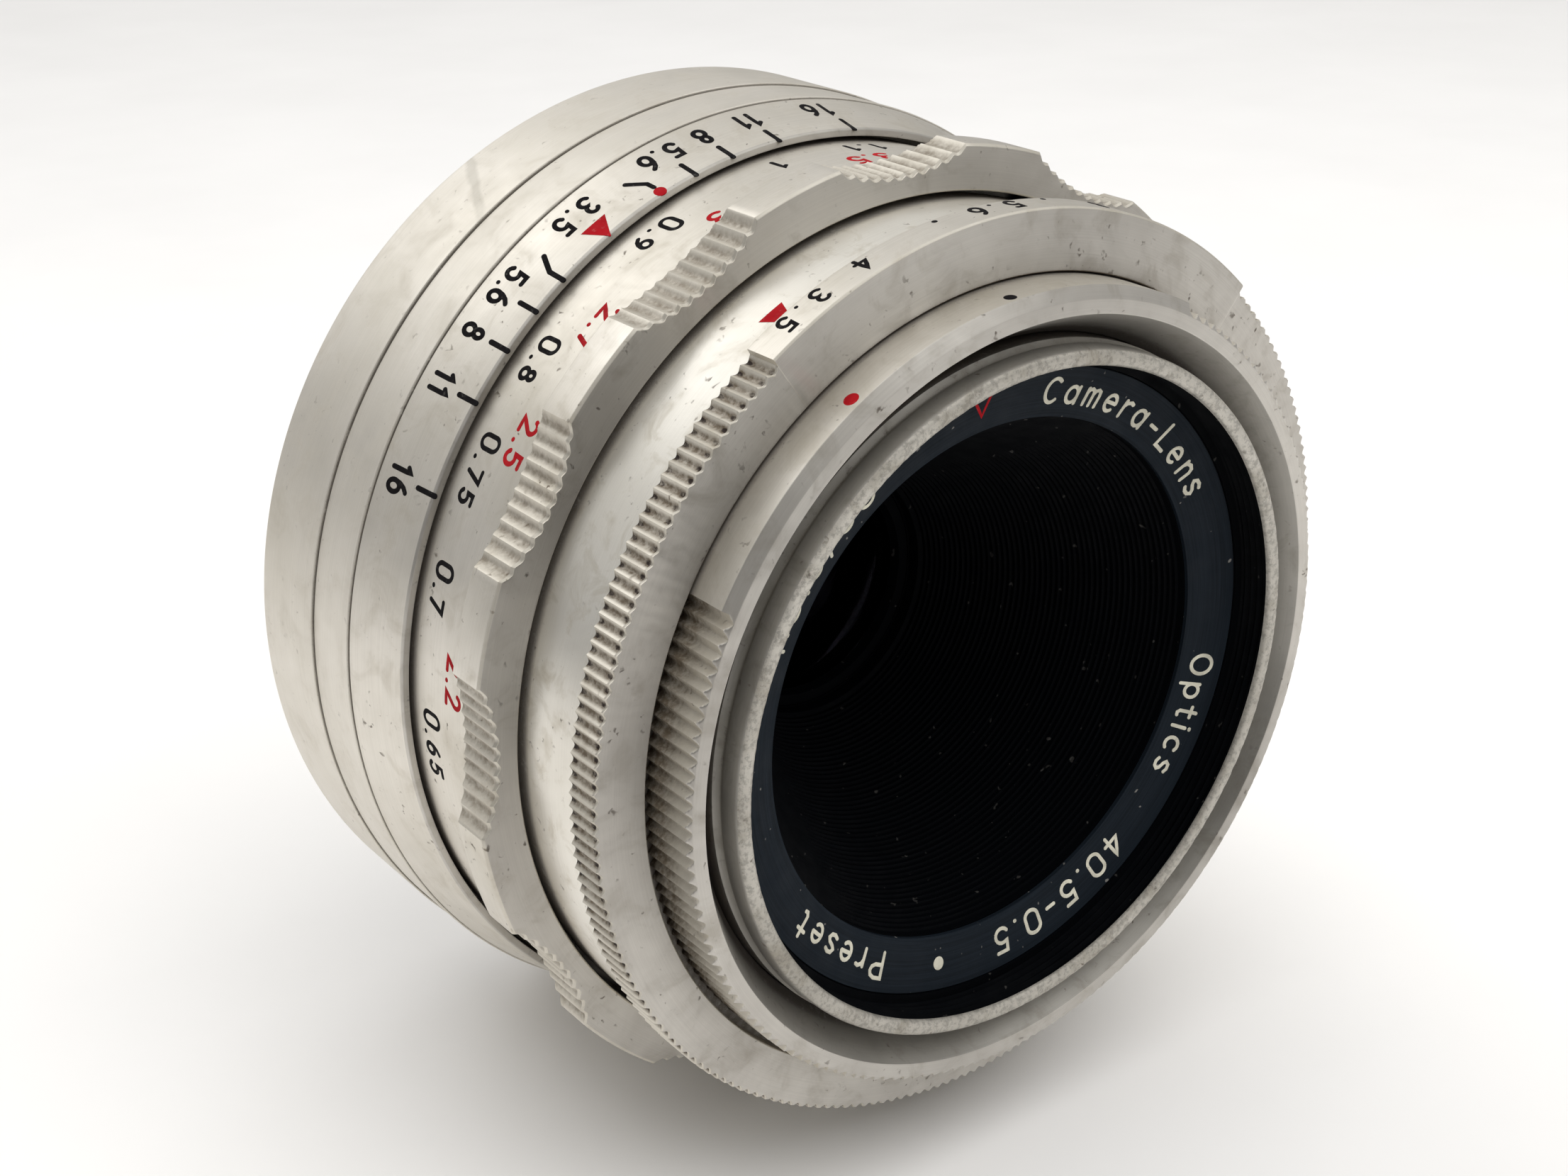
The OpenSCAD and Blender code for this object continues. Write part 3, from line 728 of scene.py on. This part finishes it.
def arc(cx, cy, rx, ry, a0, a1, n=14):
    """points of an elliptical arc from a0 to a1 degrees."""
    return [(cx + rx * math.cos(math.radians(a)), cy + ry * math.sin(math.radians(a)))
            for a in np.linspace(a0, a1, n)]


def flip(strokes, w=FULL):
    """strokes turned upside down."""
    return [[(w - x, 1 - y) for x, y in line] for line in strokes]


SIX = [arc(0.31, 0.3, 0.26, 0.3, 90, 450, 22), [(0.06, 0.36), (0.1, 0.6), (0.22, 0.84), (0.4, 1.0)]]
# strokes of each character in a box 1 high, base line at 0
GLYPHS = {
    "0": [arc(0.31, 0.72, 0.27, 0.28, 180, 0) + arc(0.31, 0.28, 0.27, 0.28, 0, -180) + [(0.04, 0.72)]],
    "1": [[(0.12, 0.8), (0.32, 1.0), (0.32, 0)]],
    "2": [arc(0.3, 0.73, 0.26, 0.27, 160, -35) + [(0.04, 0), (0.58, 0)]],
    "3": [arc(0.28, 0.75, 0.24, 0.25, 150, -90) + arc(0.28, 0.26, 0.28, 0.26, 84, -150)],
    "4": [[(0.42, 0), (0.42, 1), (0.03, 0.3), (0.6, 0.3)]],
    "5": [[(0.54, 1), (0.14, 1), (0.1, 0.58)] + arc(0.28, 0.32, 0.27, 0.31, 118, -150)],
    "6": SIX,
    "7": [[(0.04, 1), (0.56, 1), (0.2, 0)]],
    "8": [arc(0.31, 0.77, 0.2, 0.23, 90, 450, 18), arc(0.31, 0.27, 0.26, 0.27, 90, 450, 20)],
    "9": flip(SIX),
    ".": [[(0.08, 0.02), (0.1, 0.02)]],
    ":": [[(0.08, 0.1), (0.1, 0.1)], [(0.08, 0.6), (0.1, 0.6)]],
    "/": [[(0.0, -0.1), (0.4, 1.1)]],
    "-": [[(0.08, 0.42), (0.4, 0.42)]],
    "C": [arc(0.34, 0.5, 0.3, 0.5, 50, 310, 20)],
    "L": [[(0.06, 1), (0.06, 0), (0.5, 0)]],
    "O": [arc(0.36, 0.5, 0.33, 0.5, 90, 450, 28)],
    "P": [[(0.06, 0), (0.06, 1), (0.36, 1), (0.52, 0.9), (0.57, 0.74), (0.52, 0.58), (0.36, 0.48),
           (0.06, 0.48)]],
    "a": [arc(0.27, 0.34, 0.23, 0.34, 90, 450, 18), [(0.5, 0.68), (0.5, 0)]],
    "c": [arc(0.29, 0.34, 0.25, 0.34, 50, 310)],
    "e": [[(0.07, 0.36), (0.5, 0.36)] + arc(0.28, 0.34, 0.23, 0.34, 6, 310, 16)],
    "i": [[(0.08, 0.68), (0.08, 0)], [(0.07, 0.92), (0.09, 0.92)]],
    "m": [[(0.05, 0.68), (0.05, 0)],
          [(0.05, 0.45), (0.1, 0.62), (0.2, 0.68), (0.3, 0.62), (0.33, 0.45), (0.33, 0)],
          [(0.33, 0.45), (0.38, 0.62), (0.48, 0.68), (0.58, 0.62), (0.61, 0.45), (0.61, 0)]],
    "n": [[(0.06, 0.68), (0.06, 0)],
          [(0.06, 0.42), (0.12, 0.6), (0.26, 0.68), (0.4, 0.62), (0.46, 0.45), (0.46, 0)]],
    "p": [[(0.06, 0.68), (0.06, -0.3)], arc(0.3, 0.34, 0.24, 0.34, 90, 450, 18)],
    "r": [[(0.06, 0.68), (0.06, 0)], [(0.06, 0.42), (0.14, 0.6), (0.28, 0.68), (0.38, 0.64)]],
    "s": [[(0.42, 0.6), (0.3, 0.68), (0.14, 0.66), (0.07, 0.52), (0.16, 0.4), (0.34, 0.3), (0.42, 0.17),
           (0.34, 0.03), (0.18, 0), (0.05, 0.08)]],
    "t": [[(0.2, 0.95), (0.2, 0.12), (0.28, 0), (0.38, 0.02)], [(0.02, 0.68), (0.38, 0.68)]],
}
WIDTH = {".": 0.18, ":": 0.18, "1": 0.44, "/": 0.4, "-": 0.48, "i": 0.16, "t": 0.4, "r": 0.4, "m": 0.66,
    "O": 0.72, "C": 0.64, "s": 0.48, "c": 0.54, "a": 0.56, "e": 0.56, "L": 0.52, "n": 0.52, "p": 0.56}
SUNK = -0.05           # how far the marks reach into the metal, mm
PROUD = 0.012          # and how far they stand out of it


class Marks:
    """painted strokes and spots that follow a surface; place(u, v, h) gives the point in mm."""

    def __init__(self):
        self.verts, self.faces, self.layer = [], [], 0

    def add(self, points, faces):
        base = len(self.verts)
        self.verts += points
        self.faces += [[base + i for i in f] for f in faces]

    def stroke(self, line, width, place):
        """closed strip along line with round ends."""
        self.layer = (self.layer + 1) % 7
        top = PROUD + 0.0012 * self.layer
        pts = [np.array(p, float) for p in line]
        dense = [pts[0]]
        for p, q in zip(pts, pts[1:]):
            k = max(1, int(np.linalg.norm(q - p) / 0.35))
            dense += [p + (q - p) * j / k for j in range(1, k + 1)]
        pts = dense
        loop = np.linalg.norm(pts[0] - pts[-1]) < 1e-6
        if loop:
            pts = pts[:-1]
        n, half = len(pts), width / 2
        sections = []
        for i, p in enumerate(pts):
            a = pts[i] - pts[i - 1] if i or loop else pts[1] - pts[0]
            b = pts[(i + 1) % n] - pts[i] if i < n - 1 or loop else a
            a, b = a / max(np.linalg.norm(a), 1e-9), b / max(np.linalg.norm(b), 1e-9)
            side = np.array([-(a + b)[1], (a + b)[0]])
            size = np.linalg.norm(side)
            side = side / size if size > 0.2 else np.array([-b[1], b[0]])
            reach = min(half / max(abs(side @ np.array([-b[1], b[0]])), 0.5), 1.6 * half)
            e = min(0.02, 0.25 * half)
            outline = ((reach, SUNK), (reach, top - e), (reach - e, top), (-reach + e, top),
                       (-reach, top - e), (-reach, SUNK))
            sections.append([(p + side * off, h) for off, h in outline])
        points = [place(q[0], q[1], h) for section in sections for q, h in section]
        faces = []
        for i in range(n if loop else n - 1):
            for k in range(6):
                j, m = (i + 1) % n, (k + 1) % 6
                faces.append([i * 6 + k, i * 6 + m, j * 6 + m, j * 6 + k])
        if not loop:
            faces += [list(range(6)), [(n - 1) * 6 + k for k in range(6)]]
        self.add(points, faces)
        if not loop:
            for c in (pts[0], pts[-1]):
                self.spot(c[0], c[1], half, place, 10, top - 0.0006)

    def spot(self, u, v, radius, place, n=20, top=PROUD):
        """round dot of n sides."""
        pts, faces = [], []
        turn = [2 * math.pi * k / n for k in range(n)]
        for rr, h in ((radius, SUNK), (radius, top - 0.015), (radius * 0.93, top)):
            pts += [place(u + rr * math.cos(a), v + rr * math.sin(a), h) for a in turn]
        for row in range(2):
            faces += [[row * n + k, row * n + (k + 1) % n, (row + 1) * n + (k + 1) % n, (row + 1) * n + k]
                      for k in range(n)]
        pts += [place(u, v, top), place(u, v, SUNK)]
        faces += [[2 * n + k, 2 * n + (k + 1) % n, 3 * n] for k in range(n)]
        faces += [[(k + 1) % n, k, 3 * n + 1] for k in range(n)]
        self.add(pts, faces)

    def wedge(self, u0, u1, v0, v1, apex, place, n=14):
        """filled triangle: base from u0 to u1 at v0, apex at (apex, v1)."""
        pts, faces = [], []
        rows = 8
        for h in (PROUD + 0.002, SUNK):
            for i in range(rows + 1):
                t = i / rows * 0.97
                for j in range(n + 1):
                    a = u0 + (apex - u0) * t
                    b = u1 + (apex - u1) * t
                    pts.append(place(a + (b - a) * j / n, v0 + (v1 - v0) * t, h))
        w = n + 1
        off = (rows + 1) * w
        for i in range(rows):
            for j in range(n):
                q = [i * w + j, i * w + j + 1, (i + 1) * w + j + 1, (i + 1) * w + j]
                faces += [q, [off + k for k in q[::-1]]]
            faces += [[i * w, (i + 1) * w, off + (i + 1) * w, off + i * w],
                      [i * w + n, off + i * w + n, off + (i + 1) * w + n, (i + 1) * w + n]]
        faces += [[j, off + j, off + j + 1, j + 1] for j in range(n)]
        last = rows * w
        faces += [[last + j, last + j + 1, off + last + j + 1, off + last + j] for j in range(n)]
        self.add(pts, faces)

    def glyph(self, char, centre, base, wide, tall, width, place):
        """one character, width being that of its strokes."""
        half = WIDTH.get(char, FULL) / 2
        foot = base + width / 2
        for line in GLYPHS[char]:
            points = [(centre + (x - half) * wide, foot + y * (tall - width)) for x, y in line]
            self.stroke(points, width, place)

    def build(self, name, material):
        verts = np.array([world(r, phi, z) for r, phi, z in self.verts]).reshape(-1, 3)
        return finish_mesh(name, verts, self.faces, material, 40)


def wall(radius, lean=lambda z: 0.0):
    """place() on a turned wall: u is the arc length at radius, v is z, lean(z) how far the wall is off it."""
    def place(u, v, h):
        return radius + lean(v) + h, math.degrees(u / radius), v
    return place


def slope(p, q):
    """radius as a function of z along the straight wall from p to q."""
    return lambda z: p[0] + (z - p[1]) * (q[0] - p[0]) / (q[1] - p[1])


def at(phi, r):
    """arc length at radius r."""
    return math.radians(phi) * r


FRONT = span("filter_collar")[1]
DOF_R = 30.0           # radius at which the figures' places are laid out
AHEAD = 0.02           # the figures' wall starts this far ahead of the ring's, so it is a little prouder
DOF_WALL = slope((DOF_BACK[0], DOF_BACK[1] + AHEAD), DOF_FRONT)
DOF = wall(DOF_R, lambda z: DOF_WALL(z) - DOF_R)


def engrave(marks, surface, r, items, base, wide, tall, width):
    """(character, angle) items standing on the line z = base."""
    for char, phi in items:
        if char == ".":
            marks.spot(at(phi, r), base + 0.15, 0.14, surface)
        else:
            marks.glyph(char, at(phi, r), base, wide, tall, width, surface)


def behind(distance):
    """z of a place so many mm behind the front rim."""
    return FRONT - distance


# depth-of-field scale: a pair of ticks for each f-number, as far off the index as the f-number is large
dof_black, dof_red = Marks(), Marks()
INDEX = 118.8          # angle of the index
STEP = 2.21            # degrees off the index for each unit of the f-number
TICK = 0.34            # width of a tick


def dof_tick(*points):
    """black line through (angle, distance from the front rim) points."""
    dof_black.stroke([(at(phi, DOF_R), behind(v)) for phi, v in points], TICK, DOF)


for stop in (16, 11, 8, 5.6):
    for phi in (INDEX - STEP * stop, INDEX + STEP * stop):
        dof_tick((phi, 21.2), (phi, 22.55))
near, distant = INDEX + STEP * 3.5, INDEX - STEP * 3.5
dof_tick((distant, 22.1), (distant + 0.1, 22.65), (112.8, 23.6))
dof_tick((near, 21.2), (near, 22.35), (125.3, 23.5))
dof_red.spot(at(distant, DOF_R), behind(21.55), 0.4, DOF)
dof_red.wedge(at(117.3, DOF_R), at(120.9, DOF_R), behind(22.7), behind(21.05), at(119.2, DOF_R), DOF)
dof_text = [("1", 152.9), ("6", 155.1), ("1", 141.9), ("1", 143.6), ("8", 136.4), ("5", 128.8), (".", 130.4),
    ("6", 131.9), ("3", 117.5), (".", 119.4), ("5", 121.2), ("5", 105.2), (".", 107.1), ("6", 108.7),
    ("8", 101.1), ("1", 93.8), ("1", 95.4), ("1", 83.3), ("6", 85.7)]
engrave(dof_black, DOF, DOF_R, dof_text, behind(24.95), 1.3, 1.75, 0.31)
show(dof_black.build("depth_scale_figures", p_black), "mount", None)
show(dof_red.build("depth_scale_index", p_red), "mount", None)

# distance scale: metres in black, feet in red
BAND = wall(GRIP_BAND)
far_black, far_red = Marks(), Marks()


def number(marks, text, phi, base, wide, tall, width, zero=None):
    """text with its first figure at phi; zero gives the width and height of a leading 0."""
    place = phi
    for i, c in enumerate(text):
        if c == ".":
            marks.spot(at(place, GRIP_BAND), base + 0.15, 0.15, BAND)
            place += 1.95
            continue
        w, t = zero if zero and i == 0 and c == "0" else (wide, tall)
        marks.glyph(c, at(place, GRIP_BAND), base, w, t, width, BAND)
        place += 2.05 if text[i + 1:i + 2] == "." else 2.6


for text, phi in (("0.65", 179.4), ("0.7", 161.5), ("0.75", 146.2), ("0.8", 133.6), ("0.9", 113.6),
                  ("1", 97.3), ("1.1", 82.4), ("1.3", 62.2), ("1.5", 48.0), ("2", 27.6), ("3", 5.8),
                  ("5", -10.8)):
    number(far_black, text, phi, behind(20.2), 1.28, 1.62, 0.3, (1.5, 1.95))
for text, phi in (("2.2", 171.0), ("2.5", 142.6), ("2.7", 127.5), ("3", 110.3), ("3.5", 85.9), ("4", 71.1),
                  ("5", 48.4), ("7", 23.4), ("10", 4.0), ("15", -9.6)):
    number(far_red, text, phi, behind(17.65), 1.45, 1.8, 0.31)
infinity = [(at(-34.9, GRIP_BAND) + 1.1 * math.sin(t), behind(19.3) + 0.5 * math.sin(2 * t))
            for t in np.linspace(0, 2 * math.pi, 40)]
far_black.stroke(infinity, 0.22, BAND)
show(far_black.build("distance_metres", p_black), "focus", None)
show(far_red.build("distance_feet", p_red), "focus", None)

# preset figures, its index on the neck, and the dots of the front ring
LAND = wall(LAND_R)
stops = Marks()
stop_text = [("3", 115.2), ("5", 120.1), ("4", 108.9), ("5", 87.2), ("6", 92.3), ("8", 73.7), ("1", 60.2),
    ("1", 61.9), ("1", 50.6), ("6", 52.8)]
engrave(stops, LAND, LAND_R, stop_text, behind(5.75), 1.25, 1.55, 0.27)
for phi, radius in ((117.7, 0.13), (89.9, 0.13), (97.8, 0.18), (81.7, 0.18)):
    stops.spot(at(phi, LAND_R), behind(5.5), radius, LAND)
show(stops.build("preset_figures", p_black), "preset", None)

NECK_R = 27.3          # the neck's wall
index = Marks()
index.wedge(at(116.05, NECK_R), at(119.7, NECK_R), behind(8.35), behind(6.2), at(117.9, NECK_R), wall(NECK_R))
show(index.build("preset_index", p_red), "lens_head", None)

RING = wall(RING_R)
dot_red, dot_black = Marks(), Marks()
dot_red.spot(at(121.07, RING_R), behind(1.46), 0.45, RING, 28)
dot_black.spot(at(94.75, RING_R), behind(1.29), 0.38, RING, 28)
show(dot_red.build("open_dot", p_red), "aperture", None)
show(dot_black.build("closed_dot", p_black), "aperture", None)

# name ring lettering
LINE_R = 17.25         # radius of the letters' base line
TEXT_R = 18.0          # radius at which their widths are laid out


def name_place(u, v, h):
    """place() on the dished face of the name ring, u clockwise as seen from the front."""
    rho = LINE_R + v
    face = FACE_IN[1] + (rho - FACE_IN[0]) * (FACE_OUT[1] - FACE_IN[1]) / (FACE_OUT[0] - FACE_IN[0])
    return rho, -math.degrees(u / TEXT_R), face + h


letters = Marks()


def lettering(text, start, wide=1.9, tall=1.75, gap=0.55):
    """text that starts at the angle start and runs clockwise."""
    u = -at(start, TEXT_R)
    for c in text:
        w = WIDTH.get(c, FULL) * wide
        letters.glyph(c, u + w / 2, 0.0, wide, tall, 0.25, name_place)
        u += w + gap


lettering("1:3.5/50", 158)
lettering("Camera-Lens", 82)
lettering("Optics", -10)
lettering("40.5-0.5", -52)
lettering("Preset", 242)
letters.spot(-at(-103, TEXT_R), 0.85, 0.42, name_place, 24)
show(letters.build("name_ring_lettering", p_cream), "lens_head", None)
tick = Marks()
tick.stroke([(-at(phi, TEXT_R), v) for phi, v in ((99, 1.5), (97, 0.3), (95.4, 1.5))], 0.2, name_place)
show(tick.build("name_ring_tick", p_red), "lens_head", None)

# ---------------------------------------------------------------- CAD nodes that stay
KEEP = {
    m_dull: ["fixed_barrel", "head_sleeve", "head_core"],
    m_brass: ["guide_keys", "focus_helicoid", "rear_cell", "iris_drive_tube"],
    m_steel: ["flange_screws", "focus_stop_screw", "focus_grip_screws", "preset_stop_pin", "click_ball",
              "click_spring", "drive_screws"],
    m_black: ["front_retainer", "rear_retainer", "front_cell"],
    m_iris: ["iris_base", "iris_cam_ring"] + ["iris_blade_%02d" % i for i in range(1, 11)],
    m_glass: ["second_element", "doublet_front", "doublet_rear"],
}
for material, names in KEEP.items():
    for n in names:
        NODES[n].data.materials.clear()
        NODES[n].data.materials.append(material)

# ---------------------------------------------------------------- floor, light, camera
lo, hi = cad_box
FLOOR_Z = lo.z - 0.02 * MM
HALF_FLOOR = 4         # metres
corners = [(x * HALF_FLOOR, y * HALF_FLOOR, FLOOR_Z) for x, y in ((-1, -1), (1, -1), (1, 1), (-1, 1))]
mesh = bpy.data.meshes.new("floor")
mesh.from_pydata(corners, [], [(0, 1, 2, 3)])
floor = bpy.data.objects.new("floor", mesh)
bpy.context.scene.collection.objects.link(floor)
g = Graph("floor_paper")


def apart(x0, y0):
    """distance on the floor from a point, in metres."""
    dx, dy = g.math("SUBTRACT", g.x, x0), g.math("SUBTRACT", g.y, y0)
    return g.math("SQRT", g.math("ADD", g.product(dx, dx), g.product(dy, dy)))


# painted shade on the floor as the metal mirrors it: darker outwards, and a painted shadow where the
# photographer stands
far = apart(0.0, 0.0)
fade = g.ramp(g.product(far, 0.8), [(0.0, 0.98), (0.1, 0.92), (0.25, 0.70), (0.6, 0.42), (1.0, 0.24)])
mirror = g.product(fade, g.fit(apart(-0.10, -0.125), 0.03, 0.11, 0.22, 1.0))
mirror = g.math("MAXIMUM", mirror, g.product(fade, g.fit(g.y, -0.06, 0.0)))
# painted shade on the floor as the camera sees it: darker with distance
seen = g.fit(far, 0.10, 0.75, 1.0, 0.77)
path = g.node("ShaderNodeLightPath")
level = g.mix(path.outputs["Is Glossy Ray"], seen, mirror)
paper = g.mix(g.fit(g.noise(30, 4), 0.3, 0.7), rgb(0.88, 0.872, 0.865), rgb(0.85, 0.842, 0.835))
g.set(Base_Color=g.mix(1.0, paper, level, "MULTIPLY"), Roughness=0.7, Specular_IOR_Level=0.1)
mesh.materials.append(g.mat)

# one wide soft light above, kept out of reflections
light = bpy.data.lights.new("overhead", "AREA")
light.size = 0.8
light.energy = 2.9
light.color = (1.0, 0.99, 0.98)
above = Vector((0.03, -0.16, 0.60))
overhead = bpy.data.objects.new("overhead", light)
overhead.location = (lo + hi) / 2 + above
overhead.rotation_euler = (-above).to_track_quat("-Z", "Y").to_euler()
overhead.visible_glossy = False
bpy.context.scene.collection.objects.link(overhead)

# the room: brighter upwards, with soft patches of light and one dark side
sky = bpy.data.worlds.new("studio")
sky.use_nodes = True
bpy.context.scene.world = sky
w = Nodes(sky.node_tree)
back = w.tree.nodes["Background"]
split = w.node("ShaderNodeSeparateXYZ")
w.link(w.node("ShaderNodeTexCoord").outputs["Generated"], split.inputs[0])
dx, dy, dz = split.outputs


def lobe(direction, edge, core, power):
    """soft patch round a direction, full inside the cosine core and nothing outside the cosine edge."""
    n = Vector(direction).normalized()
    d = w.math("ADD", w.math("ADD", w.product(dx, n.x), w.product(dy, n.y)), w.product(dz, n.z))
    f = w.fit(d, edge, core)
    return w.product(f, f, w.math("SUBTRACT", 3.0, w.product(f, 2.0)), power)


height = w.ramp(dz, [(0.0, rgb(0.20, 0.20, 0.205)), (0.10, rgb(0.27, 0.27, 0.27)),
    (0.30, rgb(0.46, 0.455, 0.45)), (0.60, rgb(0.57, 0.565, 0.55)), (1.0, rgb(0.70, 0.695, 0.68))])
patches = w.math("ADD", lobe((-0.20, 0.72, 0.66), 0.88, 0.985, 1.15),
                 lobe((-0.25, 0.40, 0.88), 0.84, 0.97, 0.30))
patches = w.math("ADD", patches, lobe((0.38, -0.48, 0.79), 0.86, 0.98, 0.65))
room = w.mix(1.0, height, patches, "ADD")
dark_side = w.math("SUBTRACT", 1.0, lobe((-0.60, -0.76, 0.22), 0.70, 0.97, 0.90))
room = w.mix(1.0, room, dark_side, "MULTIPLY")
w.link(room, back.inputs[0])
path = w.node("ShaderNodeLightPath")
w.link(w.fit(path.outputs["Is Glossy Ray"], 0.0, 1.0, 1.12, 1.0), back.inputs[1])

# the photo's camera, found from the outlines of the rings
cam = bpy.data.cameras.new("camera")
cam.sensor_width = 36
cam.lens = 50.906
cam.clip_start = 0.005
camera = bpy.data.objects.new("camera", cam)
forward = Vector((0.55372, 0.72210, -0.41468)).normalized()
right = forward.cross(Vector((0, 0, 1))).normalized()
up = right.cross(forward)
camera.matrix_world = Matrix.Translation(Vector((-80.96, -118.6, 59.57)) * MM) @ Matrix(
    (right, up, -forward)).transposed().to_4x4()
bpy.context.scene.collection.objects.link(camera)
bpy.context.scene.camera = camera
bpy.context.scene.view_settings.view_transform = "Standard"
